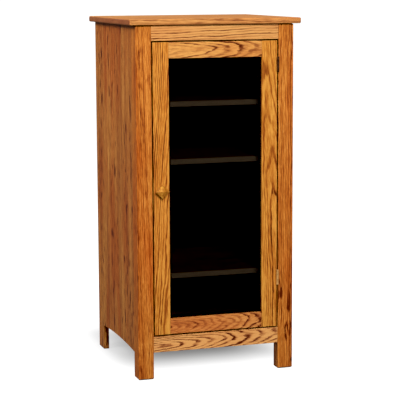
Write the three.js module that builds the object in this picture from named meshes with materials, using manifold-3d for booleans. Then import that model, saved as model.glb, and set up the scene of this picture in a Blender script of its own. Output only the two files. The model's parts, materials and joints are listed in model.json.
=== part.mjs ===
// Tall oak media cabinet with one inset glass door, on four short legs.
//
// Millimetres, +Z up. While it is being built the cabinet stands in case coordinates:
// x = 0 is the middle of the case, y = 0 is the front face of the face frame, and z = 0 is the
// floor. "Left" and "right" are as seen from the front, so left is -X. The exported group is
// then shifted back along Y, so that the origin is the middle of the footprint.

import * as THREE from 'three';
import { mergeVertices } from 'three/addons/utils/BufferGeometryUtils.js';
import Module from 'manifold-3d';

const wasm = await Module();
wasm.setup();

// ---------------------------------------------------------------- driving dimensions

const overallHeight = 1219;
const caseWidth = 557;
const caseDepth = 541;

const slabThickness = 20;
const slabSideOverhang = 23;
const slabFrontOverhang = 15;

const postWidth = 54;
const postDepth = 52;
const postInnerDepth = 38; // the post's inner back corner is rabbeted away behind this
const postEndChamfer = 3.5;

const frameThickness = 20; // face-frame rails and door members
const topRailHeight = 52;
const bottomRailHeight = 56;
const bottomRailUnderside = 93;

const doorGap = 4.5;
const doorStileWidth = 55;
const doorRailHeight = 54;

const panelThickness = 19;
const backLegDepth = 68;
const archEndHeight = 89; // the cut-out between the legs on each side
const archRise = 8;

const backPanelThickness = 6;
const backRabbetWidth = 10;
const backPanelEdgePlay = 0.5;
const cableHoleRadius = 32;
const cableHoleX = -120;
const cableHoleHeights = [240, 440];

const floorThickness = 19;
const cleatSection = 19;
const cleatEndSetback = 8;
const stretcherWidth = 70;
const stretcherThickness = 19;

const shelfThickness = 18;
const shelfSetback = 51; // from the front face of the face frame
const shelfDepth = 460;
const shelfEndPlay = 1.5;
const lowestShelfTop = 353;
const pinPitch = 49;
const shelfPitchSteps = { lower: 0, middle: 8, upper: 12 };

const pinHoleRadius = 3.2;
const pinHoleDepth = 11;
const pinHoleFirstStep = -1;
const pinHoleLastStep = 13;
const pinHoleInset = 50; // from the shelf's front and back edges
const pinShankRadius = 2.75;
const pinShankInWall = 10;
const pinReach = 9;
const pinTabThickness = 1.5;
const pinTabDrop = 9;
const pinTabWidth = 10;

const glassThickness = 4;
const glassLip = 8; // wood left in front of the pane
const glassRabbetWidth = 10;
const glassEdgePlay = 2;
const retainerProjection = 9; // how far the retainers reach inside the sight line
const retainerLipThickness = 3;

const tenonLength = 25;
const tenonThickness = 7;
const tenonSetback = 5.5; // from the front face
const doorTenonInset = { inner: 14, outer: 8 };
const frameTenonInset = 8;
const fitGap = 0.3;

const knobHeight = 645.5;
const knobHalfDiagonal = 24;
const knobBackHalfDiagonal = 20.5;
const knobRimStart = 11; // distances from the door's front face
const knobRimFull = 13.5;
const knobRimEnd = 17;
const knobReach = 26;
const knobTipFlat = 0.8;
const knobNeckRadius = 8.5;
const knobFootRadius = 10.5;
const knobFootThickness = 2.5;
const knobFootTaper = 2;

const hingeHeights = { upper: 1061, lower: 326 };
const hingeLength = 51;
const hingeBarrelRadius = 4;
const hingeAxisProud = 3.5; // the hinge axis stands this far in front of the face frame
const hingeLeafThickness = 1.5;
const hingeLeafBackSetback = 1;
const hingeKnuckleCount = 3;
const hingeKnuckleGap = 0.4;
const hingePinRadius = 1.5;
const hingePinHeadRadius = 2.6;
const hingePinHeadTopRadius = 2.1;
const hingePinHeadThickness = 1.2;
const hingeBoreRadius = 1.8;
const hingeScrewSpacing = 32;

const catchHeight = 600;
const catchWidth = 16;
const catchBodyDepth = 16;
const catchBodyLength = 30;
const catchEarLength = 60;
const catchEarThickness = 3;
const catchScrewSpacing = 46;
const strikeWidth = 11;
const strikeLength = 44;
const strikeThickness = 1.2;
const strikeEdgeSetback = 0.5;
const strikeToCatchGap = 0.4;

const roundSides = { shelfPin: 10, hingePin: 16, barrel: 20, knobNeck: 24, cableHole: 24 };
const archSegments = 14;
const passThrough = 1; // how far a cutter or a joined solid runs on past the surface it meets

// ---------------------------------------------------------------- derived places

const halfCase = caseWidth / 2;
const caseTop = overallHeight - slabThickness;
const postInner = halfCase - postWidth;
const panelInner = halfCase - panelThickness;
const topRailBottom = caseTop - topRailHeight;
const bottomRailTop = bottomRailUnderside + bottomRailHeight;
const floorBottom = bottomRailTop - floorThickness;
const backPanelFront = caseDepth - backPanelThickness;

const doorHalfWidth = postInner - doorGap;
const doorBottom = bottomRailTop + doorGap;
const doorTop = topRailBottom - doorGap;
const sightHalfWidth = doorHalfWidth - doorStileWidth;
const sightBottom = doorBottom + doorRailHeight;
const sightTop = doorTop - doorRailHeight;
const rabbetHalfWidth = sightHalfWidth + glassRabbetWidth;
const rabbetBottom = sightBottom - glassRabbetWidth;
const rabbetTop = sightTop + glassRabbetWidth;
const glassBack = glassLip + glassThickness;

const hingeAxisX = postInner - doorGap / 2;
const knobX = -(doorHalfWidth - doorStileWidth / 2);
const hingeLeafFront = hingeBarrelRadius - hingeAxisProud + hingeKnuckleGap;
const hingeLeafBack = frameThickness - hingeLeafBackSetback;
const hingeScrewY = (hingeLeafFront + hingeLeafBack) / 2;
const strikeBack = frameThickness + strikeThickness;
const catchFront = strikeBack + strikeToCatchGap;

// ---------------------------------------------------------------- materials

const finishes = {
  oak: { color: 0xc8823e, roughness: 0.42, metalness: 0 },
  oakPly: { color: 0xb98a55, roughness: 0.7, metalness: 0 },
  glass: { color: 0x0a0b0d, roughness: 0.06, metalness: 0, transparent: true, opacity: 0.45 },
  vinyl: { color: 0x16120f, roughness: 0.55, metalness: 0 },
  brass: { color: 0xb98d4c, roughness: 0.35, metalness: 1 },
  steel: { color: 0x9a968e, roughness: 0.4, metalness: 1 },
  catchPlastic: { color: 0x5a3d28, roughness: 0.5, metalness: 0 },
};

// ---------------------------------------------------------------- solid helpers

function box(low, high) {
  const size = high.map((value, axis) => value - low[axis]);
  const geometry = new THREE.BoxGeometry(...size);
  return geometry.translate(...low.map((value, axis) => value + size[axis] / 2));
}

// A cylinder of the given radius from start to end, which differ along one axis only.
function rod(start, end, radius, sides) {
  const from = new THREE.Vector3(...start);
  const along = new THREE.Vector3(...end).sub(from);
  const geometry = new THREE.CylinderGeometry(radius, radius, along.length(), sides);
  return place(geometry.translate(0, along.length() / 2, 0), start, along);
}

// Turns a shape made along +Y so that it runs along a direction, and moves its foot to a point.
function place(geometry, foot, direction) {
  const up = new THREE.Vector3(0, 1, 0);
  const turn = new THREE.Quaternion().setFromUnitVectors(up, direction.clone().normalize());
  return geometry.applyQuaternion(turn).translate(...foot);
}

function lathe(profile, sides) {
  const points = profile.map(([radius, height]) => new THREE.Vector2(radius, height));
  return new THREE.LatheGeometry(points, sides);
}

function toManifold(geometry) {
  const bare = geometry.clone();
  bare.deleteAttribute('normal');
  bare.deleteAttribute('uv');
  const merged = mergeVertices(bare, 1e-4);
  return new wasm.Manifold(new wasm.Mesh({
    numProp: 3,
    vertProperties: new Float32Array(merged.attributes.position.array),
    triVerts: new Uint32Array(merged.index.array),
  }));
}

function fromManifold(solid) {
  const mesh = solid.getMesh();
  const geometry = new THREE.BufferGeometry();
  geometry.setAttribute('position', new THREE.BufferAttribute(mesh.vertProperties, 3));
  geometry.setIndex(new THREE.BufferAttribute(mesh.triVerts, 1));
  return geometry;
}

function join(...geometries) {
  return fromManifold(geometries.map(toManifold).reduce((whole, next) => whole.add(next)));
}

function cut(geometry, ...cutters) {
  const solids = cutters.map(toManifold);
  return fromManifold(solids.reduce((rest, cutter) => rest.subtract(cutter), toManifold(geometry)));
}

// An outline in the YZ plane, given thickness along X from x0 to x1.
function extrudeAlongX(shape, x0, x1, curveSegments) {
  const geometry = new THREE.ExtrudeGeometry(shape, { depth: x1 - x0, bevelEnabled: false, curveSegments });
  const toCase = new THREE.Matrix4().makeBasis(
    new THREE.Vector3(0, 1, 0), new THREE.Vector3(0, 0, 1), new THREE.Vector3(1, 0, 0));
  return geometry.applyMatrix4(toCase).translate(x0, 0, 0);
}

// An outline in the XY plane, raised from z0 to z1.
function extrudeUp(outline, z0, z1) {
  const shape = new THREE.Shape(outline.map(([x, y]) => new THREE.Vector2(x, y)));
  return new THREE.ExtrudeGeometry(shape, { depth: z1 - z0, bevelEnabled: false }).translate(0, 0, z0);
}

// ---------------------------------------------------------------- wood screws

const screws = {
  hinge: { headRadius: 2.9, headDepth: 1.4, shankRadius: 1.3, length: 15 },
  knob: { headRadius: 4, headDepth: 2, shankRadius: 1.9, length: 31 },
  catch: { headRadius: 3, headDepth: 1.8, shankRadius: 1.4, length: 14 },
  strike: { headRadius: 2.6, headDepth: 1, shankRadius: 1.2, length: 9 },
};
const screwSides = 12;
const screwTipLength = 2.5;
const screwHeadLand = 0.2; // the straight edge of a countersunk head

// A countersunk screw whose head is level with headFace and which runs along direction.
function screw(kind, headFace, direction) {
  const { headRadius, headDepth, shankRadius, length } = screws[kind];
  const profile = [
    [0, 0], [headRadius, 0], [headRadius, screwHeadLand], [shankRadius, headDepth],
    [shankRadius, length - screwTipLength], [0, length],
  ];
  return place(lathe(profile, screwSides), headFace, new THREE.Vector3(...direction));
}

// The hole that such a screw sits in, a little larger all over and open at the head.
function screwHole(kind, headFace, direction) {
  const { headRadius, headDepth, shankRadius, length } = screws[kind];
  const profile = [
    [0, -passThrough], [headRadius + fitGap, -passThrough], [headRadius + fitGap, screwHeadLand],
    [shankRadius + fitGap, headDepth + fitGap], [shankRadius + fitGap, length + fitGap], [0, length + fitGap],
  ];
  return place(lathe(profile, screwSides), headFace, new THREE.Vector3(...direction));
}

function hingeScrewHeights(level) {
  return [-1, 1].map((side) => hingeHeights[level] + side * hingeScrewSpacing / 2);
}

const doorLeafFace = hingeAxisX - doorGap / 2 + hingeLeafThickness;
const caseLeafFace = hingeAxisX + doorGap / 2 - hingeLeafThickness;

function hingeScrewPlaces(leaf) {
  const faceX = leaf === 'door' ? doorLeafFace : caseLeafFace;
  const direction = leaf === 'door' ? [-1, 0, 0] : [1, 0, 0];
  return Object.keys(hingeHeights).flatMap((level) => hingeScrewHeights(level).map((z, index) => ({
    name: `hinge_${level}_${leaf}_screw_${index + 1}`,
    level,
    head: [faceX, hingeScrewY, z],
    direction,
  })));
}

const knobScrewHead = [knobX, frameThickness, knobHeight];
const strikeX = -doorHalfWidth + strikeEdgeSetback + strikeWidth / 2;
const strikeScrewHead = [strikeX, strikeBack, catchHeight];
const catchScrewHeads = [-1, 1].map((side) => [
  -postInner + catchEarThickness, catchFront + catchBodyDepth / 2, catchHeight + side * catchScrewSpacing / 2,
]);

// ---------------------------------------------------------------- case

function topSlab() {
  const halfWidth = halfCase + slabSideOverhang;
  return box([-halfWidth, -slabFrontOverhang, caseTop], [halfWidth, caseDepth, overallHeight]);
}

// Mortise or tenon on the side of a member: a plain box that grows by play on every side.
function tenonBox(xFrom, xTo, zLow, zHigh, play) {
  return box(
    [Math.min(xFrom, xTo) - play, tenonSetback - play, zLow - play],
    [Math.max(xFrom, xTo) + play, tenonSetback + tenonThickness + play, zHigh + play]);
}

const frameTenonSpans = {
  top: [topRailBottom + frameTenonInset, caseTop - frameTenonInset],
  bottom: [bottomRailUnderside + frameTenonInset, bottomRailTop - frameTenonInset],
};

// Square front leg, rabbeted at its inner back corner, with its two ends chamfered.
function frontPost(side) {
  const outer = side * halfCase;
  const inner = side * postInner;
  const lip = side * panelInner;
  const outline = [
    [outer, 0], [inner, 0], [inner, postInnerDepth],
    [lip, postInnerDepth], [lip, postDepth], [outer, postDepth],
  ];
  const shape = new THREE.Shape(outline.map(([x, y]) => new THREE.Vector2(x, y)));
  const post = new THREE.ExtrudeGeometry(shape, {
    depth: caseTop - 2 * postEndChamfer,
    bevelThickness: postEndChamfer,
    bevelSize: postEndChamfer,
    bevelOffset: -postEndChamfer,
    bevelSegments: 1,
  }).translate(0, 0, postEndChamfer);
  const cutters = Object.values(frameTenonSpans).map(([low, high]) => (
    tenonBox(inner - side, inner + side * tenonLength, low, high, fitGap)));
  if (side > 0) {
    cutters.push(...hingeScrewPlaces('case').map(({ head, direction }) => screwHole('hinge', head, direction)));
  } else {
    cutters.push(...catchScrewHeads.map((head) => screwHole('catch', head, [-1, 0, 0])));
  }
  return cut(post, ...cutters);
}

function frameRail(zLow, zHigh, [tenonLow, tenonHigh]) {
  const reach = postInner + tenonLength;
  return join(
    box([-postInner, 0, zLow], [postInner, frameThickness, zHigh]),
    tenonBox(-reach, reach, tenonLow, tenonHigh, 0));
}

function pinRows() {
  return { front: shelfSetback + pinHoleInset, back: shelfSetback + shelfDepth - pinHoleInset };
}

function pinHeight(step) {
  return lowestShelfTop - shelfThickness - pinTabThickness - pinShankRadius + step * pinPitch;
}

// Solid side with the back leg in one piece and a shallow arch between the legs.
function sidePanel(side) {
  const archBack = caseDepth - backLegDepth;
  const archMiddle = (postDepth + archBack) / 2;
  const outline = new THREE.Shape();
  outline.moveTo(postDepth, archEndHeight);
  outline.quadraticCurveTo(archMiddle, archEndHeight + 2 * archRise, archBack, archEndHeight);
  outline.lineTo(archBack, 0);
  outline.lineTo(caseDepth, 0);
  outline.lineTo(caseDepth, caseTop);
  outline.lineTo(postDepth, caseTop);
  const left = Math.min(side * halfCase, side * panelInner);
  const panel = extrudeAlongX(outline, left, left + panelThickness, archSegments);

  const rabbetX = [side * (panelInner - passThrough), side * (panelInner + backRabbetWidth)];
  const rabbet = box(
    [Math.min(...rabbetX), backPanelFront, floorBottom],
    [Math.max(...rabbetX), caseDepth + passThrough, caseTop + passThrough]);
  const holes = [];
  for (let step = pinHoleFirstStep; step <= pinHoleLastStep; step += 1) {
    for (const y of Object.values(pinRows())) {
      const mouth = [side * (panelInner - passThrough), y, pinHeight(step)];
      const bottom = [side * (panelInner + pinHoleDepth), y, pinHeight(step)];
      holes.push(rod(mouth, bottom, pinHoleRadius, roundSides.shelfPin));
    }
  }
  return cut(panel, rabbet, ...holes);
}

function cabinetFloor() {
  const frontHalf = postInner - fitGap;
  const outline = [
    [-frontHalf, frameThickness], [frontHalf, frameThickness], [frontHalf, postDepth],
    [panelInner, postDepth], [panelInner, backPanelFront], [-panelInner, backPanelFront],
    [-panelInner, postDepth], [-frontHalf, postDepth],
  ];
  return extrudeUp(outline, floorBottom, bottomRailTop);
}

function floorCleat(side) {
  const wall = side * panelInner;
  const inner = wall - side * cleatSection;
  return box(
    [Math.min(wall, inner), postDepth + cleatEndSetback, floorBottom - cleatSection],
    [Math.max(wall, inner), backPanelFront - cleatEndSetback, floorBottom]);
}

function backPanel() {
  const half = panelInner + backRabbetWidth - backPanelEdgePlay;
  const sheet = box(
    [-half, backPanelFront, floorBottom + backPanelEdgePlay],
    [half, caseDepth, caseTop - backPanelEdgePlay]);
  const holes = cableHoleHeights.map((z) => rod(
    [cableHoleX, backPanelFront - passThrough, z],
    [cableHoleX, caseDepth + passThrough, z], cableHoleRadius, roundSides.cableHole));
  return cut(sheet, ...holes);
}

function topStretcher(yFront) {
  return box(
    [-panelInner, yFront, caseTop - stretcherThickness],
    [panelInner, yFront + stretcherWidth, caseTop]);
}

// ---------------------------------------------------------------- shelves

function shelfTop(level) {
  return lowestShelfTop + shelfPitchSteps[level] * pinPitch;
}

function shelf(level) {
  const half = panelInner - shelfEndPlay;
  const top = shelfTop(level);
  return box([-half, shelfSetback, top - shelfThickness], [half, shelfSetback + shelfDepth, top]);
}

// Steel shelf pin: a shank in the wall and a flat tab that the shelf rests on.
function shelfPin(level, row, side) {
  const y = pinRows()[row];
  const z = pinHeight(shelfPitchSteps[level]);
  const wallTo = (distance) => side * (panelInner + distance);
  const tabX = [wallTo(-fitGap), wallTo(-fitGap - pinTabThickness)].sort((a, b) => a - b);
  const armX = [wallTo(-fitGap), wallTo(-pinReach)].sort((a, b) => a - b);
  const tabTop = z + pinShankRadius + pinTabThickness;
  return join(
    rod(
      [wallTo(-fitGap - pinTabThickness / 2), y, z],
      [wallTo(pinShankInWall), y, z], pinShankRadius, roundSides.shelfPin),
    box([tabX[0], y - pinTabWidth / 2, tabTop - pinTabDrop], [tabX[1], y + pinTabWidth / 2, tabTop]),
    box([armX[0], y - pinTabWidth / 2, tabTop - pinTabThickness], [armX[1], y + pinTabWidth / 2, tabTop]));
}

// ---------------------------------------------------------------- door

const doorTenonSpans = {
  bottom: [doorBottom + doorTenonInset.outer, sightBottom - doorTenonInset.inner],
  top: [sightTop + doorTenonInset.inner, doorTop - doorTenonInset.outer],
};

function glassRabbet() {
  return box(
    [-rabbetHalfWidth, glassLip, rabbetBottom],
    [rabbetHalfWidth, frameThickness + passThrough, rabbetTop]);
}

// A rabbet and mortises are cut into each stile, and the screw holes that its hardware needs.
function doorStile(side) {
  const outer = side * doorHalfWidth;
  const inner = side * sightHalfWidth;
  const stile = box(
    [Math.min(outer, inner), 0, doorBottom],
    [Math.max(outer, inner), frameThickness, doorTop]);
  const cutters = Object.values(doorTenonSpans).map(([low, high]) => (
    tenonBox(inner - side, inner + side * tenonLength, low, high, fitGap)));
  cutters.push(glassRabbet());
  if (side > 0) {
    cutters.push(...hingeScrewPlaces('door').map(({ head, direction }) => screwHole('hinge', head, direction)));
  } else {
    cutters.push(screwHole('knob', knobScrewHead, [0, -1, 0]));
    cutters.push(screwHole('strike', strikeScrewHead, [0, -1, 0]));
  }
  return cut(stile, ...cutters);
}

function doorRail(zLow, zHigh, [tenonLow, tenonHigh]) {
  const reach = sightHalfWidth + tenonLength;
  const rail = join(
    box([-sightHalfWidth, 0, zLow], [sightHalfWidth, frameThickness, zHigh]),
    tenonBox(-reach, reach, tenonLow, tenonHigh, 0));
  return cut(rail, glassRabbet());
}

function glassPane() {
  const half = rabbetHalfWidth - glassEdgePlay;
  return box(
    [-half, glassLip + fitGap, rabbetBottom + glassEdgePlay],
    [half, glassBack, rabbetTop - glassEdgePlay]);
}

// Retainer section, as [distance in from the rabbet's edge, depth]. Its thin lip reaches inside
// the sight line.
const retainerWidth = glassRabbetWidth + retainerProjection;
const retainerSection = [
  [fitGap, glassBack + fitGap],
  [retainerWidth, glassBack + fitGap],
  [retainerWidth, glassBack + retainerLipThickness],
  [glassRabbetWidth, frameThickness],
  [fitGap, frameThickness],
];

function retainerBesideStile(side) {
  const outline = retainerSection.map(([inward, y]) => [side * (rabbetHalfWidth - inward), y]);
  return extrudeUp(outline, rabbetBottom + fitGap, rabbetTop - fitGap);
}

function retainerAlongRail(edge, towardsMiddle) {
  const outline = retainerSection.map(([inward, y]) => (
    new THREE.Vector2(y, edge + towardsMiddle * inward)));
  const half = rabbetHalfWidth - retainerWidth - fitGap;
  return extrudeAlongX(new THREE.Shape(outline), -half, half, 1);
}

// Square knob turned on its corner, with a four-sided point, on a short round neck.
function knob() {
  const head = lathe([
    [0, knobRimStart], [knobBackHalfDiagonal, knobRimStart], [knobHalfDiagonal, knobRimFull],
    [knobHalfDiagonal, knobRimEnd], [knobTipFlat, knobReach], [0, knobReach],
  ], 4);
  const neck = lathe([
    [0, 0], [knobFootRadius, 0], [knobFootRadius, knobFootThickness],
    [knobNeckRadius, knobFootThickness + knobFootTaper],
    [knobNeckRadius, knobRimStart + passThrough], [0, knobRimStart + passThrough],
  ], roundSides.knobNeck);
  const outward = new THREE.Vector3(0, -1, 0);
  const foot = [knobX, 0, knobHeight];
  const body = join(place(head, foot, outward), place(neck, foot, outward));
  return cut(body, screwHole('knob', knobScrewHead, [0, -1, 0]));
}

// ---------------------------------------------------------------- hinges

// The barrel has three slots from bottom to top: the case leaf has the two outer ones, and the
// door leaf the middle one.
function knuckleSpans(level, leaf) {
  const length = hingeLength / hingeKnuckleCount;
  const base = hingeHeights[level] - hingeLength / 2;
  const slots = leaf === 'door' ? [1] : [0, 2];
  return slots.map((slot) => [
    base + slot * length + (slot === 0 ? 0 : hingeKnuckleGap / 2),
    base + (slot + 1) * length - (slot === hingeKnuckleCount - 1 ? 0 : hingeKnuckleGap / 2),
  ]);
}

function hingeLeaf(level, leaf) {
  const wood = leaf === 'door' ? hingeAxisX - doorGap / 2 : hingeAxisX + doorGap / 2;
  const face = leaf === 'door' ? doorLeafFace : caseLeafFace;
  const [x0, x1] = [wood, face].sort((a, b) => a - b);
  const bottom = hingeHeights[level] - hingeLength / 2;
  const top = bottom + hingeLength;
  const onAxis = (z) => [hingeAxisX, -hingeAxisProud, z];
  const plate = box([x0, hingeLeafFront, bottom], [x1, hingeLeafBack, top]);
  const knuckles = knuckleSpans(level, leaf).flatMap(([low, high]) => [
    rod(onAxis(low), onAxis(high), hingeBarrelRadius, roundSides.barrel),
    box([x0, -hingeAxisProud, low], [x1, hingeLeafFront + passThrough, high]),
  ]);
  const bore = rod(
    onAxis(bottom - passThrough), onAxis(top + passThrough), hingeBoreRadius, roundSides.hingePin);
  const holes = hingeScrewPlaces(leaf)
    .filter((screwPlace) => screwPlace.level === level)
    .map(({ head, direction }) => screwHole('hinge', head, direction));
  return cut(join(plate, ...knuckles), bore, ...holes);
}

function hingePin(level) {
  const bottom = hingeHeights[level] - hingeLength / 2;
  const headBase = hingeLength + fitGap;
  const profile = [
    [0, 0], [hingePinRadius, 0], [hingePinRadius, headBase], [hingePinHeadRadius, headBase],
    [hingePinHeadTopRadius, headBase + hingePinHeadThickness], [0, headBase + hingePinHeadThickness],
  ];
  const foot = [hingeAxisX, -hingeAxisProud, bottom];
  return place(lathe(profile, roundSides.hingePin), foot, new THREE.Vector3(0, 0, 1));
}

// ---------------------------------------------------------------- magnetic catch

function catchBody() {
  const x0 = -postInner;
  const housing = box(
    [x0, catchFront, catchHeight - catchBodyLength / 2],
    [x0 + catchWidth, catchFront + catchBodyDepth, catchHeight + catchBodyLength / 2]);
  const ears = box(
    [x0, catchFront, catchHeight - catchEarLength / 2],
    [x0 + catchEarThickness, catchFront + catchBodyDepth, catchHeight + catchEarLength / 2]);
  return cut(join(housing, ears), ...catchScrewHeads.map((head) => screwHole('catch', head, [-1, 0, 0])));
}

function strikePlate() {
  const plate = box(
    [strikeX - strikeWidth / 2, frameThickness, catchHeight - strikeLength / 2],
    [strikeX + strikeWidth / 2, strikeBack, catchHeight + strikeLength / 2]);
  return cut(plate, screwHole('strike', strikeScrewHead, [0, -1, 0]));
}

// ---------------------------------------------------------------- assembly

const cabinet = new THREE.Group();

function add(name, geometry, finish) {
  const mesh = new THREE.Mesh(geometry, new THREE.MeshStandardMaterial(finishes[finish]));
  mesh.name = name;
  cabinet.add(mesh);
}

const sides = { left: -1, right: 1 };

add('top_slab', topSlab(), 'oak');
add('frame_top_rail', frameRail(topRailBottom, caseTop, frameTenonSpans.top), 'oak');
add('frame_bottom_rail', frameRail(bottomRailUnderside, bottomRailTop, frameTenonSpans.bottom), 'oak');
add('cabinet_floor', cabinetFloor(), 'oak');
add('back_panel', backPanel(), 'oakPly');
add('top_stretcher_front', topStretcher(postInnerDepth), 'oak');
add('top_stretcher_back', topStretcher(backPanelFront - stretcherWidth), 'oak');

for (const [name, side] of Object.entries(sides)) {
  add(`front_post_${name}`, frontPost(side), 'oak');
  add(`side_panel_${name}`, sidePanel(side), 'oak');
  add(`floor_cleat_${name}`, floorCleat(side), 'oak');
}

for (const level of Object.keys(shelfPitchSteps)) {
  add(`shelf_${level}`, shelf(level), 'oak');
  for (const row of Object.keys(pinRows())) {
    for (const [name, side] of Object.entries(sides)) {
      add(`shelf_pin_${level}_${row}_${name}`, shelfPin(level, row, side), 'steel');
    }
  }
}

add('door_stile_knob_side', doorStile(-1), 'oak');
add('door_stile_hinge_side', doorStile(1), 'oak');
add('door_rail_bottom', doorRail(doorBottom, sightBottom, doorTenonSpans.bottom), 'oak');
add('door_rail_top', doorRail(sightTop, doorTop, doorTenonSpans.top), 'oak');
add('glass_pane', glassPane(), 'glass');
add('glass_retainer_left', retainerBesideStile(-1), 'vinyl');
add('glass_retainer_right', retainerBesideStile(1), 'vinyl');
add('glass_retainer_bottom', retainerAlongRail(rabbetBottom, 1), 'vinyl');
add('glass_retainer_top', retainerAlongRail(rabbetTop, -1), 'vinyl');
add('knob', knob(), 'oak');
add('knob_screw', screw('knob', knobScrewHead, [0, -1, 0]), 'steel');

for (const level of Object.keys(hingeHeights)) {
  add(`hinge_${level}_case_leaf`, hingeLeaf(level, 'case'), 'brass');
  add(`hinge_${level}_door_leaf`, hingeLeaf(level, 'door'), 'brass');
  add(`hinge_${level}_pin`, hingePin(level), 'brass');
}
for (const leaf of ['case', 'door']) {
  for (const { name, head, direction } of hingeScrewPlaces(leaf)) {
    add(name, screw('hinge', head, direction), 'brass');
  }
}

add('catch_body', catchBody(), 'catchPlastic');
for (const [index, head] of catchScrewHeads.entries()) {
  add(`catch_screw_${index + 1}`, screw('catch', head, [-1, 0, 0]), 'steel');
}
add('strike_plate', strikePlate(), 'steel');
add('strike_screw', screw('strike', strikeScrewHead, [0, -1, 0]), 'steel');

cabinet.position.y = (knobReach - caseDepth) / 2;

export default cabinet;
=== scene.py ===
"""Looks of the tall oak media cabinet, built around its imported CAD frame.

Metres, in the frame's own axes: -Y is the door side, +X the hinge side, and +Z is up.
Every CAD board is redrawn with eased edges and gets its own piece of figured oak. The glass,
the hinges and the other small pieces keep their CAD shapes and get a finish.
"""

import json
import math
from dataclasses import dataclass

import bmesh
import bpy
from mathutils import Matrix, Vector


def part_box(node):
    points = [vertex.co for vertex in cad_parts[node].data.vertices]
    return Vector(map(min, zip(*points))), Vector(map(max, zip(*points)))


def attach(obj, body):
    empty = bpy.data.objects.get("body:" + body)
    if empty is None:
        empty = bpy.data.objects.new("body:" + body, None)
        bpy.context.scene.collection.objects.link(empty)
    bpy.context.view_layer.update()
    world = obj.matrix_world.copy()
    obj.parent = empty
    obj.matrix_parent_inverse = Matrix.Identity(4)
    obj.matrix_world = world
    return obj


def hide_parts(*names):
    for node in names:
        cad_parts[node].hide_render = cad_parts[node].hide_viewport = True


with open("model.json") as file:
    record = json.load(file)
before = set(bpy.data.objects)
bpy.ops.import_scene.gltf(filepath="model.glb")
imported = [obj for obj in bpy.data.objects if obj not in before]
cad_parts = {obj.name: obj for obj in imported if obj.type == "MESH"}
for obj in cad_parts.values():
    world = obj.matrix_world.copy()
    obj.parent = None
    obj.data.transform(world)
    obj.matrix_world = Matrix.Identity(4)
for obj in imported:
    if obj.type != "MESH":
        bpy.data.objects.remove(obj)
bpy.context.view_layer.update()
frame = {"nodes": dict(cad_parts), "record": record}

AXIS = {"x": Vector((1, 0, 0)), "y": Vector((0, 1, 0)), "z": Vector((0, 0, 1))}
BODY_OF = {node: body for body, nodes in frame["record"]["behaviour"]["bodies"].items() for node in nodes}
SLOT_OF = {entry["node"]: entry["material_slot"] for entry in frame["record"]["subparts"]}

MM = 0.001
WHITE = (1, 1, 1, 1)


# ---------------------------------------------------------------- node helpers

class Tree:
    """Short calls for making and wiring nodes in one node tree."""

    def __init__(self, tree):
        self.nodes = tree.nodes
        self.links = tree.links

    def node(self, kind, **settings):
        made = self.nodes.new("ShaderNode" + kind)
        for name, value in settings.items():
            setattr(made, name, value)
        return made

    def feed(self, socket, value):
        if isinstance(value, bpy.types.NodeSocket):
            self.links.new(value, socket)
        else:
            socket.default_value = value

    def math(self, operation, a, b=0.0, clamp=False):
        made = self.node("Math", operation=operation, use_clamp=clamp)
        self.feed(made.inputs[0], a)
        self.feed(made.inputs[1], b)
        return made.outputs[0]

    def times(self, a, b):
        return self.math("MULTIPLY", a, b)

    def vector_math(self, operation, a, b):
        made = self.node("VectorMath", operation=operation)
        self.feed(made.inputs[0], a)
        self.feed(made.inputs[1], b)
        return made.outputs["Value" if operation == "DOT_PRODUCT" else "Vector"]

    def noise(self, vector, scale, detail=2.0, rough=0.5, seed=0.0):
        made = self.node("TexNoise", noise_dimensions="4D")
        self.feed(made.inputs["Vector"], vector)
        self.feed(made.inputs["W"], seed)
        made.inputs["Scale"].default_value = scale
        made.inputs["Detail"].default_value = detail
        made.inputs["Roughness"].default_value = rough
        return made.outputs["Fac"]

    def remap(self, value, low, high, to_low=0.0, to_high=1.0):
        """Carries low..high smoothly over to to_low..to_high, and holds the ends outside it."""
        made = self.node("MapRange", interpolation_type="SMOOTHSTEP")
        self.feed(made.inputs["Value"], value)
        made.inputs["From Min"].default_value = low
        made.inputs["From Max"].default_value = high
        made.inputs["To Min"].default_value = to_low
        made.inputs["To Max"].default_value = to_high
        return made.outputs[0]

    def ramp(self, value, stops):
        """A colour for each value, from (position, red, green, blue) stops."""
        made = self.node("ValToRGB")
        self.feed(made.inputs["Fac"], value)
        elements = made.color_ramp.elements
        while len(elements) > 1:
            elements.remove(elements[-1])
        for index, (position, *colour) in enumerate(stops):
            element = elements[0] if index == 0 else elements.new(position)
            element.position = position
            element.color = (*colour, 1)
        return made.outputs["Color"]

    def mix(self, factor, a, b):
        made = self.node("Mix")
        self.feed(made.inputs[0], factor)
        self.feed(made.inputs[2], a)
        self.feed(made.inputs[3], b)
        return made.outputs[0]

    def mix_colour(self, factor, a, b, blend="MIX"):
        made = self.node("Mix", data_type="RGBA", blend_type=blend)
        self.feed(made.inputs[0], factor)
        self.feed(made.inputs[6], a)
        self.feed(made.inputs[7], b)
        return made.outputs[2]

    def tint(self, factor, colour, by):
        return self.mix_colour(factor, colour, (*by, 1), "MULTIPLY")

    def bump(self, shader, height, depth, strength):
        made = self.node("Bump")
        made.inputs["Strength"].default_value = strength
        made.inputs["Distance"].default_value = depth
        self.feed(made.inputs["Height"], height)
        self.feed(shader.inputs["Normal"], made.outputs[0])

    def here(self):
        """The place being shaded, in the object's own axes."""
        return self.node("TexCoord").outputs["Object"]


def new_material(name):
    material = bpy.data.materials.new(name)
    material.use_nodes = True
    tree = Tree(material.node_tree)
    return material, tree, tree.nodes["Principled BSDF"]


# ---------------------------------------------------------------- camera, floor and light

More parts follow.
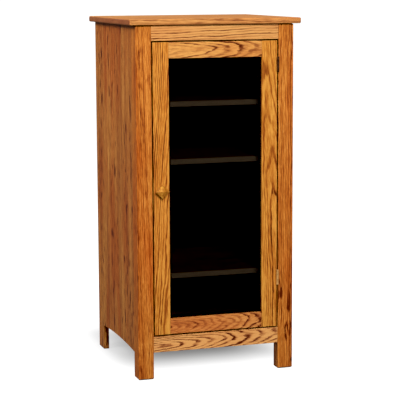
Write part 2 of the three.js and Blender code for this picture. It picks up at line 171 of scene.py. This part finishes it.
CAMERA_PLACE = (-1.6034, -5.0444, 1.3441)
CAMERA_TURN = math.radians(17.90)       # to the right of straight at the front
CAMERA_DOWN = math.radians(8.31)
CAMERA_ROLL = math.radians(-0.26)
CAMERA_LENS_MM = 135.3
SENSOR_MM = 36.0
CAMERA_REACH = 60.0


def make_camera():
    data = bpy.data.cameras.new("camera")
    data.lens = CAMERA_LENS_MM
    data.sensor_width = SENSOR_MM
    data.clip_end = CAMERA_REACH
    camera = bpy.data.objects.new("camera", data)
    bpy.context.collection.objects.link(camera)
    turn = Matrix.Rotation(-CAMERA_TURN, 4, "Z")
    tilt = Matrix.Rotation(math.pi / 2 - CAMERA_DOWN, 4, "X")
    roll = Matrix.Rotation(CAMERA_ROLL, 4, "Z")
    camera.matrix_world = Matrix.Translation(CAMERA_PLACE) @ turn @ tilt @ roll
    bpy.context.scene.camera = camera


STUDIO_BEHIND_GLASS = 0.04      # strength of floor and world where they are seen through the glass

FLOOR_HALF = 14.0
FLOOR_GREY = (0.12, 0.12, 0.12, 1)
FLOOR_ROUGHNESS = 0.95
# The floor's glow paints the cabinet's shadow: a dim rounded pool round its middle that fades out to white.
FLOOR_GLOW_IN_PAINTED_SHADOW = 0.20          # under the cabinet, in the painted shadow
FLOOR_GLOW_FAR = 1.06           # further out, where the floor burns out to white
PAINTED_SHADOW_MIDDLE = (0.035, 0.24, 0.0)
PAINTED_SHADOW_STARTS_TO_FADE = 0.12
PAINTED_SHADOW_GONE = 0.44
SQUARENESS = 5                  # the painted shadow is a rounded square, like the cabinet's footprint


def floor_glow(tree):
    """How brightly the floor glows: dim in a painted shadow under the cabinet, and white away from it."""
    split = tree.node("SeparateXYZ")
    tree.feed(split.inputs[0], tree.vector_math("SUBTRACT", tree.here(), PAINTED_SHADOW_MIDDLE))
    powers = [tree.math("POWER", tree.math("ABSOLUTE", split.outputs[axis]), SQUARENESS) for axis in (0, 1)]
    distance = tree.math("POWER", tree.math("ADD", *powers), 1 / SQUARENESS)
    glow = tree.remap(distance, PAINTED_SHADOW_STARTS_TO_FADE, PAINTED_SHADOW_GONE, FLOOR_GLOW_IN_PAINTED_SHADOW, FLOOR_GLOW_FAR)
    through_glass = tree.node("LightPath").outputs["Transparent Depth"]
    return tree.mix(through_glass, glow, STUDIO_BEHIND_GLASS)


def make_floor():
    mesh = bpy.data.meshes.new("floor")
    h = FLOOR_HALF
    mesh.from_pydata([(-h, -h, 0), (h, -h, 0), (h, h, 0), (-h, h, 0)], [], [(0, 1, 2, 3)])
    floor = bpy.data.objects.new("floor", mesh)
    bpy.context.collection.objects.link(floor)
    material, tree, shader = new_material("studio_floor")
    shader.inputs["Base Color"].default_value = FLOOR_GREY
    shader.inputs["Roughness"].default_value = FLOOR_ROUGHNESS
    shader.inputs["Specular IOR Level"].default_value = 0.0
    shader.inputs["Emission Color"].default_value = WHITE
    tree.feed(shader.inputs["Emission Strength"], floor_glow(tree))
    mesh.materials.append(material)
    floor.visible_glossy = False
    floor.visible_diffuse = False


WORLD_SEEN = 1.10               # what the camera sees behind the cabinet
WORLD_LIGHT = 0.13              # what lights the cabinet from all sides
WORLD_GLOSS = 0.10              # what shows as a reflection


def make_world():
    """A white studio, with its own strength for each kind of ray."""
    world = bpy.data.worlds.new("studio")
    bpy.context.scene.world = world
    world.use_nodes = True
    world.node_tree.nodes.clear()
    tree = Tree(world.node_tree)
    rays = tree.node("LightPath").outputs
    level = tree.mix(rays["Is Camera Ray"], WORLD_LIGHT, WORLD_SEEN)
    level = tree.mix(rays["Is Glossy Ray"], level, WORLD_GLOSS)
    level = tree.mix(rays["Transparent Depth"], level, STUDIO_BEHIND_GLASS)
    background = tree.node("Background")
    tree.feed(background.inputs["Color"], WHITE)
    tree.feed(background.inputs["Strength"], level)
    output = tree.node("OutputWorld")
    tree.feed(output.inputs["Surface"], background.outputs[0])


# Each softbox: its place, where it is aimed, its side in metres and its power in watts.
SOFTBOXES = {
    "key": ((-0.3, -4.4, 2.9), (0, -0.1, 0.7), 1.2, 206),
    "shine": ((-1.3, -4.2, 2.7), (0, -0.1, 0.7), 0.9, 22),
    "side_fill": ((-3.1, -0.5, 3.1), (-0.3, 0, 0.6), 1.4, 108),
    "right_fill": ((3.2, 0.3, 2.6), (0.3, 0, 0.6), 1.6, 105),
    "back_fill": ((-0.7, 3.7, 2.6), (0, 0.3, 0.6), 1.6, 150),
}
SEEN_AS_HIGHLIGHT = "shine"


def make_lights():
    for name, (place, target, side, watts) in SOFTBOXES.items():
        data = bpy.data.lights.new(name, "AREA")
        data.shape = "SQUARE"
        data.size = side
        data.energy = watts
        light = bpy.data.objects.new(name, data)
        bpy.context.collection.objects.link(light)
        light.visible_glossy = name == SEEN_AS_HIGHLIGHT
        light.location = place
        aim = Vector(target) - Vector(place)
        light.rotation_euler = aim.to_track_quat("-Z", "Y").to_euler()


# ---------------------------------------------------------------- growth rings

FIGURE_GROUP = "oak_figure"
FIGURE_INPUTS = ("Ring", "Seed", "Wave")
FIGURE_OUTPUTS = ("Band", "Pore", "Streak", "Fibre", "Fleck")

# How fast each noise runs: cycles per metre across the fibres, and along them.
BROAD_WARP = (13, 3.6)
FINE_WARP = (62, 10)
RAGGED_WARP = (520, 36)
FADING = (85, 14)
PORES = (1500, 42)
FLECK_COLUMNS = (26, 1.0)
FLECKS = (78, 17)
STREAKS = (60, 1.5)
FIBRES = (260, 32)

FINE_WAVE = 4.2 * MM
RAGGED_WAVE = 1.4 * MM
WEAKEST_RING = 0.25
WEAKEST_STRETCH = 0.40
PORES_OUTSIDE_BAND = 0.15
RING_TURNS_AT = 0.95            # the share of a ring at which the next one's strength takes over

# The noise levels between which each feature goes from absent to full.
FADING_SHOWS = (0.34, 0.56)
PORES_SHOW = (0.56, 0.66)
COLUMNS_SHOW = (0.47, 0.56)
FLECKS_SHOW = (0.56, 0.65)
RING_PROFILE = [        # the share of a ring passed, and how dark it is there
    (0.00, 1.0), (0.18, 0.92), (0.34, 0.20), (0.55, 0.0), (0.90, 0.04), (1.00, 1.0),
]


def stretched(tree, place, seed, pace, detail=2.0, rough=0.5):
    """Noise drawn out along the fibres."""
    across, along = pace
    return tree.noise(tree.vector_math("MULTIPLY", place, (across, across, along)), 1.0, detail, rough, seed)


def ring_count(tree, place, ring, seed, wave):
    """How many rings lie between the pith and this place, once the rings have been bent."""
    split = tree.node("SeparateXYZ")
    tree.feed(split.inputs[0], place)
    squares = [tree.times(split.outputs[axis], split.outputs[axis]) for axis in (0, 1)]
    radius = tree.math("SQRT", tree.math("ADD", *squares))
    for pace, reach in ((BROAD_WARP, wave), (FINE_WARP, FINE_WAVE), (RAGGED_WARP, RAGGED_WAVE)):
        swing = tree.math("SUBTRACT", stretched(tree, place, seed, pace), 0.5)
        radius = tree.math("ADD", radius, tree.times(swing, tree.times(reach, 2.0)))
    return tree.math("DIVIDE", radius, ring)


def ring_band(tree, place, seed, count):
    """1 in the dark porous early wood, less where a ring is weak or fades away."""
    stops = [(position, dark, dark, dark) for position, dark in RING_PROFILE]
    profile = tree.ramp(tree.math("FRACT", count), stops)
    ids = tree.node("CombineXYZ")
    tree.feed(ids.inputs[0], tree.math("FLOOR", tree.math("ADD", count, 1 - RING_TURNS_AT)))
    tree.feed(ids.inputs[1], seed)
    pick = tree.node("TexWhiteNoise", noise_dimensions="2D")
    tree.feed(pick.inputs["Vector"], ids.outputs[0])
    strength = tree.remap(pick.outputs["Value"], 0.0, 1.0, WEAKEST_RING, 1.0)
    fading = tree.remap(stretched(tree, place, seed, FADING), *FADING_SHOWS, WEAKEST_STRETCH, 1.0)
    return tree.times(tree.times(profile, strength), fading)


def make_figure_group():
    """Growth rings round a pith that runs along Z, cut by whatever face the board shows.

    Vector is the place relative to the pith, in metres. Band is 1 in the dark porous early wood,
    Pore is 1 in an open pore, Streak is the slow change of tone along the fibres, Fibre the quick
    one, and Fleck is 1 in the short dark marks between the rings.
    """
    group = bpy.data.node_groups.new(FIGURE_GROUP, "ShaderNodeTree")
    group.interface.new_socket("Vector", in_out="INPUT", socket_type="NodeSocketVector")
    for name in FIGURE_INPUTS:
        group.interface.new_socket(name, in_out="INPUT", socket_type="NodeSocketFloat")
    for name in FIGURE_OUTPUTS:
        group.interface.new_socket(name, in_out="OUTPUT", socket_type="NodeSocketFloat")
    tree = Tree(group)
    given = tree.nodes.new("NodeGroupInput").outputs
    result = tree.nodes.new("NodeGroupOutput")
    place, seed = given["Vector"], given["Seed"]

    count = ring_count(tree, place, given["Ring"], seed, given["Wave"])
    band = ring_band(tree, place, seed, count)
    open_pores = tree.remap(stretched(tree, place, seed, PORES, 1.0), *PORES_SHOW)
    in_band = tree.math("ADD", tree.times(band, 1 - PORES_OUTSIDE_BAND), PORES_OUTSIDE_BAND)
    columns = tree.remap(stretched(tree, place, seed, FLECK_COLUMNS), *COLUMNS_SHOW)
    marks = tree.remap(stretched(tree, place, seed, FLECKS), *FLECKS_SHOW)
    results = {
        "Band": band,
        "Pore": tree.times(open_pores, in_band),
        "Streak": stretched(tree, place, seed, STREAKS, 3.0, 0.6),
        "Fibre": stretched(tree, place, seed, FIBRES, 3.0, 0.70),
        "Fleck": tree.times(columns, marks),
    }
    for name, value in results.items():
        tree.feed(result.inputs[name], value)


# ---------------------------------------------------------------- stained oak

@dataclass
class Oak:
    """How one board's oak differs from the usual.

    The pith passes at pith, across the width and through the thickness from the board's middle,
    and climbs by rise in those directions for each metre of length. ring is the width of a ring
    and wave how far the rings wander. level is the tone of the plain wood and band_depth how far
    the early wood falls below it. fleck is the depth of the short dark marks, pale the share of
    pale wood and red that of red patches. tint multiplies the whole board. painted_front is a colour
    painted on the face towards the door, where that face differs from the rest: painted light on
    the shelves' fronts, painted shade on the back panel's front.
    """

    seed: float
    pith: tuple = (0.02, 0.08)
    rise: tuple = (0.0, 0.01)
    ring: float = 5.0 * MM
    wave: float = 5.0 * MM
    level: float = 0.78
    band_depth: float = 0.50
    fleck: float = 0.0
    pale: float = 0.0
    red: float = 0.4
    tint: tuple = (1, 1, 1)
    # colour of painted light or shade laid on the face towards the door
    painted_front: tuple = None


OAK_TONES = [
    (0.00, 0.100, 0.016, 0.005),
    (0.25, 0.215, 0.045, 0.009),
    (0.50, 0.345, 0.098, 0.015),
    (0.75, 0.545, 0.190, 0.026),
    (1.00, 0.760, 0.345, 0.060),
]
PALE_OAK = (0.74, 0.40, 0.155, 1)
STREAK_CONTRAST = 0.80
FIBRE_CONTRAST = 1.15
PORE_CONTRAST = 0.35
PATCH_SIZE = (14, 14, 2.2)
PATCHES_SHOW = (0.40, 0.66)
REDNESS = (0.86, 0.58, 0.50)
END_GRAIN = (0.50, 0.34, 0.50)
END_GRAIN_SHARE = 0.8
# how much of the front face takes its painted light or shade
PAINTED_FRONT_SHARE = 0.9
FACE_ON = (0.55, 0.90)          # how squarely a face must look one way to count as facing it

EDGE_RADIUS = 2.2 * MM
WORN_OAK = (0.62, 0.30, 0.10, 1)
WEAR = 0.35
EDGE_TURNS = (0.99, 0.86)       # how squarely the softened edge still faces its own surface
WEAR_PATCHES = 38.0
WEAR_SHOWS = (0.40, 0.62)
# Painted shade: the colour is darkened where boards nearly meet, by how closed in the spot is.
CREVICE_PAINTED_SHADE = (0.022, 0.008, 0.004, 1)
CREVICE_REACH = 12 * MM
CREVICE_OPENNESS = (0.80, 0.40)  # from where the painted shade starts to where it is deepest
CREVICE_DEPTH = 0.92

OAK_ROUGHNESS = 0.42
OAK_SPECULAR = 0.36
VARNISH = 0.05
VARNISH_ROUGHNESS = 0.22
PORES_ROUGHEN = 0.30
STREAKS_ROUGHEN = 0.16
PORE_DEPTH = 0.35 * MM
GRAIN_BUMP = 0.5
FIBRE_RISE = 0.25               # shares of the pore depth
PORE_FALL = 0.75
BAND_FALL = 0.15


def place_in_log(tree, centre, across, through, oak):
    """The place relative to the pith, with the grain along Z."""
    turn = Matrix((across, through, across.cross(through)))
    mapping = tree.node("Mapping", vector_type="POINT")
    tree.feed(mapping.inputs["Vector"], tree.here())
    mapping.inputs["Rotation"].default_value = turn.to_euler()
    mapping.inputs["Location"].default_value = Vector((*oak.pith, 0)) - turn @ centre
    split = tree.node("SeparateXYZ")
    tree.feed(split.inputs[0], mapping.outputs[0])
    leaning = tree.node("CombineXYZ")
    for index, rise in enumerate(oak.rise):
        climbed = tree.times(split.outputs[2], rise)
        tree.feed(leaning.inputs[index], tree.math("ADD", split.outputs[index], climbed))
    tree.feed(leaning.inputs[2], split.outputs[2])
    return leaning.outputs[0]


def cut_figure(tree, place, oak):
    """The ring pattern of this board, as the outputs of the shared figure group."""
    figure = tree.node("Group")
    figure.node_tree = bpy.data.node_groups[FIGURE_GROUP]
    tree.feed(figure.inputs["Vector"], place)
    figure.inputs["Ring"].default_value = oak.ring
    figure.inputs["Seed"].default_value = oak.seed
    figure.inputs["Wave"].default_value = oak.wave
    return figure.outputs


def grain_colour(tree, place, figure, oak):
    """The stained grain, from its rings, streaks, fibres, flecks and pores."""
    streak = tree.math("SUBTRACT", figure["Streak"], 0.5)
    fibre = tree.math("SUBTRACT", figure["Fibre"], 0.5)
    tone = tree.math("SUBTRACT", oak.level, tree.times(figure["Band"], oak.band_depth))
    tone = tree.math("ADD", tone, tree.times(streak, STREAK_CONTRAST))
    tone = tree.math("ADD", tone, tree.times(fibre, FIBRE_CONTRAST))
    tone = tree.math("SUBTRACT", tone, tree.times(figure["Fleck"], oak.fleck))
    tone = tree.math("SUBTRACT", tone, tree.times(figure["Pore"], PORE_CONTRAST), clamp=True)
    stained = tree.ramp(tone, OAK_TONES)
    lifted = tree.mix_colour(tree.math("MULTIPLY", tone, oak.pale, clamp=True), stained, PALE_OAK)
    tinted = tree.tint(1.0, lifted, oak.tint)
    patches = tree.noise(tree.vector_math("MULTIPLY", place, PATCH_SIZE), 1.0, 2.0, 0.5, oak.seed + 7)
    return tree.tint(tree.remap(patches, *PATCHES_SHOW, 0.0, oak.red), tinted, REDNESS)


def turned_faces(tree, colour, along, oak):
    """Darkens the end grain, and lays the board's painted front colour (painted light on shelf fronts,
    painted shade on the back panel) on the face towards the door.
    """
    normal = tree.node("TexCoord").outputs["Normal"]
    end_on = tree.math("ABSOLUTE", tree.vector_math("DOT_PRODUCT", normal, along))
    ended = tree.tint(tree.remap(end_on, *FACE_ON, 0.0, END_GRAIN_SHARE), colour, END_GRAIN)
    if not oak.painted_front:
        return ended
    front_on = tree.remap(tree.vector_math("DOT_PRODUCT", normal, -AXIS["y"]), *FACE_ON)
    return tree.mix_colour(tree.times(front_on, PAINTED_FRONT_SHARE), ended, (*oak.painted_front, 1))


def worn_edges(tree, colour, place, oak):
    """Rubs the varnish thin along the edges, unevenly."""
    soft = tree.node("Bevel", samples=4)
    soft.inputs["Radius"].default_value = EDGE_RADIUS
    surface = tree.node("NewGeometry").outputs["Normal"]
    facing = tree.vector_math("DOT_PRODUCT", soft.outputs[0], surface)
    rubbed = tree.remap(facing, *EDGE_TURNS)
    uneven = tree.remap(tree.noise(place, WEAR_PATCHES, 3.0, 0.6, oak.seed + 3), *WEAR_SHOWS)
    return tree.mix_colour(tree.times(tree.times(rubbed, uneven), WEAR), colour, WORN_OAK)


def painted_crevice_shade(tree, colour):
    """Paints shade into the colour where two boards nearly meet, darker the more closed in the spot is."""
    openness = tree.node("AmbientOcclusion", samples=4)
    openness.inputs["Distance"].default_value = CREVICE_REACH
    closed = tree.remap(openness.outputs["AO"], *CREVICE_OPENNESS, 0.0, CREVICE_DEPTH)
    return tree.mix_colour(closed, colour, CREVICE_PAINTED_SHADE)


def varnish(tree, shader, figure):
    """Satin varnish that sinks into the pores."""
    streak = tree.math("SUBTRACT", figure["Streak"], 0.5)
    rough = tree.math("ADD", OAK_ROUGHNESS, tree.times(figure["Pore"], PORES_ROUGHEN))
    tree.feed(shader.inputs["Roughness"], tree.math("ADD", rough, tree.times(streak, STREAKS_ROUGHEN)))
    shader.inputs["Specular IOR Level"].default_value = OAK_SPECULAR
    shader.inputs["Coat Weight"].default_value = VARNISH
    shader.inputs["Coat Roughness"].default_value = VARNISH_ROUGHNESS
    raised = tree.times(figure["Fibre"], FIBRE_RISE)
    height = tree.math("SUBTRACT", raised, tree.times(figure["Pore"], PORE_FALL))
    height = tree.math("SUBTRACT", height, tree.times(figure["Band"], BAND_FALL))
    tree.bump(shader, height, PORE_DEPTH, GRAIN_BUMP)


def oak_material(name, node, across, through, oak):
    """Stained and varnished oak for one board, which is across wide and through thick."""
    material, tree, shader = new_material(name)
    low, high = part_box(node)
    centre = (Vector(low) + Vector(high)) / 2
    place = place_in_log(tree, centre, across, through, oak)
    figure = cut_figure(tree, place, oak)
    colour = grain_colour(tree, place, figure, oak)
    colour = turned_faces(tree, colour, across.cross(through), oak)
    colour = worn_edges(tree, colour, place, oak)
    # the crevices get painted shade
    tree.feed(shader.inputs["Base Color"], painted_crevice_shade(tree, colour))
    varnish(tree, shader, figure)
    return material


# ---------------------------------------------------------------- other finishes

SMOKE = (0.004, 0.004, 0.005, 1)
SMOKE_DENSITY = 0.57
GLASS_IOR = 1.5
GLASS_SPECULAR = 0.5
GLASS_ROUGHNESS = (0.02, 0.07)  # clean, and under a trace of dust
DUST_PATCHES = 9.0
DUST_SHOWS = (0.35, 0.75)


def glass_material():
    material, tree, shader = new_material("smoked_glass")
    shader.inputs["Base Color"].default_value = SMOKE
    shader.inputs["IOR"].default_value = GLASS_IOR
    shader.inputs["Specular IOR Level"].default_value = GLASS_SPECULAR
    shader.inputs["Alpha"].default_value = SMOKE_DENSITY
    dust = tree.noise(tree.here(), DUST_PATCHES, 4.0, 0.6)
    tree.feed(shader.inputs["Roughness"], tree.remap(dust, *DUST_SHOWS, *GLASS_ROUGHNESS))
    return material


AGED_PATCHES = 90.0
AGE_SHOWS = (0.42, 0.66)
BRUSHING = (700, 700, 60)
BRUSHING_DEPTH = 0.05 * MM
BRUSHING_BUMP = 0.25
BRUSHING_SHOWS = (0.3, 0.7)
SMOOTHER, ROUGHER = 0.08, 0.12  # how far the brushing carries the roughness each way


def metal_material(name, colour, aged, rough, metallic):
    """Metal with fine brushing, darker in patches where it has aged."""
    material, tree, shader = new_material(name)
    place = tree.here()
    patch = tree.remap(tree.noise(place, AGED_PATCHES, 4.0, 0.6), *AGE_SHOWS)
    tree.feed(shader.inputs["Base Color"], tree.mix_colour(patch, (*colour, 1), (*aged, 1)))
    brushed = tree.noise(tree.vector_math("MULTIPLY", place, BRUSHING), 1.0, 2.0, 0.6)
    sheen = tree.remap(brushed, *BRUSHING_SHOWS, rough - SMOOTHER, rough + ROUGHER)
    tree.feed(shader.inputs["Roughness"], sheen)
    shader.inputs["Metallic"].default_value = metallic
    tree.bump(shader, brushed, BRUSHING_DEPTH, BRUSHING_BUMP)
    return material


CLOUDS = 30.0
CLOUD_LIFT = 1.5                # how much lighter the pale clouds are
PEBBLES = 2600.0
PEBBLES_SHOW = (0.3, 0.7)
PEBBLE_DEPTH = 0.06 * MM
PEBBLE_BUMP = 0.3
PEBBLE_SHEEN = 0.08


def plastic_material(name, colour, rough):
    """Moulded plastic with a fine pebbled grain."""
    material, tree, shader = new_material(name)
    place = tree.here()
    cloud = tree.noise(place, CLOUDS, 3.0, 0.5)
    lighter = tuple(channel * CLOUD_LIFT for channel in colour)
    tree.feed(shader.inputs["Base Color"], tree.mix_colour(cloud, (*colour, 1), (*lighter, 1)))
    pebble = tree.noise(place, PEBBLES, 1.0, 0.5)
    sheen = tree.remap(pebble, *PEBBLES_SHOW, rough - PEBBLE_SHEEN, rough + PEBBLE_SHEEN)
    tree.feed(shader.inputs["Roughness"], sheen)
    tree.bump(shader, pebble, PEBBLE_DEPTH, PEBBLE_BUMP)
    return material


# ---------------------------------------------------------------- redrawing CAD boards

WELD = 0.01 * MM
FLAT = math.radians(1.0)
SHARP = math.radians(20.0)
SOFT_TO = math.radians(40.0)    # faces that meet at less than this are shaded as one


def redraw(node, ease, segments=3, crease=SOFT_TO):
    """A copy of a CAD solid with whole faces and rounded edges, which stands for the CAD node."""
    source = frame["nodes"][node]
    shape = bmesh.new()
    shape.from_mesh(source.data)
    bmesh.ops.remove_doubles(shape, verts=shape.verts, dist=WELD)
    bmesh.ops.dissolve_limit(
        shape, angle_limit=FLAT, use_dissolve_boundaries=False, verts=shape.verts, edges=shape.edges)
    sharp = [edge for edge in shape.edges if len(edge.link_faces) == 2 and edge.calc_face_angle(0) > SHARP]
    bmesh.ops.bevel(
        shape, geom=sharp, offset=ease, offset_type="OFFSET", segments=segments, profile=0.5,
        affect="EDGES", clamp_overlap=True)
    return finish_piece(shape, node + "_piece", node, crease)


def finish_piece(shape, name, node, crease):
    """Turns a finished shape into an object that rides with the body of the CAD node it replaces, and hides
    that node.
    """
    bmesh.ops.recalc_face_normals(shape, faces=shape.faces)
    mesh = bpy.data.meshes.new(name)
    for face in shape.faces:
        face.smooth = True
    shape.to_mesh(mesh)
    shape.free()
    mesh.set_sharp_from_angle(angle=crease)
    piece = bpy.data.objects.new(name, mesh)
    bpy.context.collection.objects.link(piece)
    normals = piece.modifiers.new("even_normals", "WEIGHTED_NORMAL")
    normals.keep_sharp = True
    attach(piece, BODY_OF[node])
    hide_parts(node)
    return piece


# ---------------------------------------------------------------- the boards

POST_TINT = (1.0, 0.88, 0.97)
SIDE_TINT = (0.95, 0.97, 1.4)
DOOR_TINT = (1.0, 0.99, 1.0)
RAIL_TINT = (1.02, 0.95, 1.15)
APRON_TINT = (1.10, 1.08, 1.12)
# The shelves are darkened all over as painted shade.
SHELF_PAINTED_SHADE_TINT = (0.65, 0.62, 0.72)
KNOB_TINT = (0.9, 0.98, 0.85)
# painted light on the shelves' fronts
SHELF_FRONT_PAINTED_LIGHT = (1.0, 0.70, 0.38)
# painted shade: a near-black front face for the back panel, so the inside reads dark
BACK_PAINTED_SHADE = (0.05, 0.022, 0.012)

# Each board: its grain direction, its thickness direction and its oak.
BOARDS = {
    "top_slab": ("x", "z", Oak(
        seed=1.0, pith=(0.10, 0.11), rise=(0.0, 0.02), level=0.74, band_depth=0.45, pale=0.55)),
    "front_post_left": ("z", "y", Oak(
        seed=2.0, pith=(0.045, 0.05), rise=(0.02, 0.012), ring=6 * MM, band_depth=0.55, fleck=0.30,
        red=0.8, tint=POST_TINT)),
    "front_post_right": ("z", "y", Oak(
        seed=3.4, pith=(-0.05, 0.05), rise=(0.01, 0.02), ring=7 * MM, wave=12 * MM, level=0.79,
        band_depth=0.65, fleck=0.9, red=0.8, tint=POST_TINT)),
    "side_panel_left": ("z", "x", Oak(
        seed=4.1, pith=(0.06, 0.10), rise=(0.01, 0.01), ring=7 * MM, level=0.75, band_depth=0.48,
        fleck=0.80, red=0.9, tint=SIDE_TINT)),
    "side_panel_right": ("z", "x", Oak(
        seed=5.7, pith=(-0.06, 0.10), rise=(0.0, 0.012), ring=7 * MM, level=0.75, band_depth=0.48,
        fleck=0.3, red=0.9, tint=SIDE_TINT)),
    "frame_top_rail": ("x", "y", Oak(
        seed=6.2, pith=(0.075, 0.03), rise=(0.03, 0.02), ring=8 * MM, wave=10 * MM, level=0.96,
        band_depth=1.35, pale=0.6)),
    "frame_bottom_rail": ("x", "y", Oak(
        seed=7.9, pith=(0.0, 0.04), rise=(0.04, 0.10), ring=6 * MM, wave=16 * MM, level=0.97,
        band_depth=1.3, pale=0.62, red=0.2, tint=APRON_TINT)),
    "cabinet_floor": ("x", "z", Oak(seed=8.3)),
    "top_stretcher_front": ("x", "z", Oak(seed=9.1)),
    "top_stretcher_back": ("x", "z", Oak(seed=10.6)),
    "floor_cleat_left": ("y", "x", Oak(seed=11.2)),
    "floor_cleat_right": ("y", "x", Oak(seed=12.8)),
    # the shelves carry painted shade all over and painted light on their fronts
    "shelf_upper": ("x", "z", Oak(seed=13.3, tint=SHELF_PAINTED_SHADE_TINT, painted_front=SHELF_FRONT_PAINTED_LIGHT)),
    "shelf_middle": ("x", "z", Oak(seed=14.9, tint=SHELF_PAINTED_SHADE_TINT, painted_front=SHELF_FRONT_PAINTED_LIGHT)),
    "shelf_lower": ("x", "z", Oak(seed=15.5, tint=SHELF_PAINTED_SHADE_TINT, painted_front=SHELF_FRONT_PAINTED_LIGHT)),
    "door_stile_knob_side": ("z", "y", Oak(
        seed=16.4, pith=(-0.050, 0.045), rise=(-0.06, 0.01), ring=6 * MM, wave=11 * MM, level=0.90,
        band_depth=0.85, red=0.25, tint=DOOR_TINT)),
    "door_stile_hinge_side": ("z", "y", Oak(
        seed=17.2, pith=(-0.015, 0.055), rise=(0.07, 0.035), ring=6 * MM, wave=7 * MM, level=0.90,
        band_depth=0.90, red=0.2, tint=DOOR_TINT)),
    "door_rail_top": ("x", "y", Oak(
        seed=18.8, pith=(0.0, 0.045), rise=(0.02, 0.12), ring=6.5 * MM, wave=9 * MM, level=0.90,
        band_depth=1.05, pale=0.35)),
    "door_rail_bottom": ("x", "y", Oak(
        seed=19.9, pith=(0.0, 0.045), rise=(0.02, 0.15), wave=6 * MM, level=0.84, band_depth=0.95,
        pale=0.2, red=0.6, tint=RAIL_TINT)),
}
EASE = {"front_post_left": 2.4 * MM, "front_post_right": 2.4 * MM, "top_slab": 4.5 * MM}
EASE_USUAL = 1.1 * MM


def make_boards():
    for node, (grain, through, oak) in BOARDS.items():
        across = AXIS[through].cross(AXIS[grain])
        piece = redraw(node, EASE.get(node, EASE_USUAL))
        piece.data.materials.append(oak_material("oak_" + node, node, across, AXIS[through], oak))


# ---------------------------------------------------------------- the knob and the small pieces

KNOB_OAK = Oak(
    seed=22.0, pith=(0.02, 0.05), rise=(0.02, 0.05), level=0.74, band_depth=0.25, red=0.0, tint=KNOB_TINT)
KNOB_EASE = 0.3 * MM
FACET_CREASE = math.radians(8.0)
# The back panel's face towards the door is painted shade, near black.
BACK_OAK = Oak(
    seed=21.0, pith=(0.0, 0.3), rise=(0.0, 0.02), ring=9 * MM, level=0.7, band_depth=0.35, painted_front=BACK_PAINTED_SHADE)

HINGE_IN_PAINTED_SHADE = "hinge_upper"       # this hinge's brass is darkened as painted shade

# Each metal: its colour, its colour where it has aged, its roughness and how metallic it is.
BRASS = ((0.80, 0.44, 0.15), (0.45, 0.21, 0.06), 0.34, 0.35)
# the same brass darkened all over as painted shade, for the upper hinge
BRASS_IN_PAINTED_SHADE = ((0.14, 0.055, 0.03), (0.06, 0.025, 0.015), 0.50, 0.60)
ZINC_STEEL = ((0.50, 0.48, 0.44), (0.30, 0.28, 0.26), 0.36, 0.8)

# Each plastic: its colour and its roughness.
BLACK_VINYL = ((0.010, 0.009, 0.008), 0.5)
BROWN_PLASTIC = ((0.10, 0.05, 0.02), 0.45)


def make_knob():
    """The pointed knob keeps its flat facets, with only a touch off each edge."""
    knob = redraw("knob", KNOB_EASE, segments=1, crease=FACET_CREASE)
    knob.data.materials.append(oak_material("oak_knob", "knob", AXIS["x"], AXIS["y"], KNOB_OAK))


def finish_small_pieces():
    """Gives each piece that keeps its CAD shape the finish of its material slot; the upper hinge gets brass
    darkened as painted shade.
    """
    finishes = {
        "glass": glass_material(),
        "vinyl": plastic_material("black_vinyl", *BLACK_VINYL),
        "brass": metal_material("aged_brass", *BRASS),
        "steel": metal_material("zinc_steel", *ZINC_STEEL),
        "catch_plastic": plastic_material("catch_plastic", *BROWN_PLASTIC),
        "oak_ply": oak_material("oak_back_panel", "back_panel", AXIS["x"], AXIS["y"], BACK_OAK),
    }
    shade_painted_brass = metal_material("brass_darkened_as_painted_shade", *BRASS_IN_PAINTED_SHADE)
    for node, item in frame["nodes"].items():
        if SLOT_OF[node] not in finishes:
            continue
        # the upper hinge gets brass darkened as painted shade
        finish = shade_painted_brass if node.startswith(HINGE_IN_PAINTED_SHADE) else finishes[SLOT_OF[node]]
        for place in item.material_slots:
            place.material = finish


# ---------------------------------------------------------------- the picture

BLACK_LEVEL = 0.008     # deepens the shadows behind the glass and in the gaps


def set_tones():
    view = bpy.context.scene.view_settings
    view.view_transform = "Standard"
    view.use_curve_mapping = True
    view.curve_mapping.black_level = (BLACK_LEVEL, BLACK_LEVEL, BLACK_LEVEL)
    view.curve_mapping.update()


set_tones()
make_camera()
make_floor()
make_world()
make_lights()
make_figure_group()
make_boards()
make_knob()
finish_small_pieces()
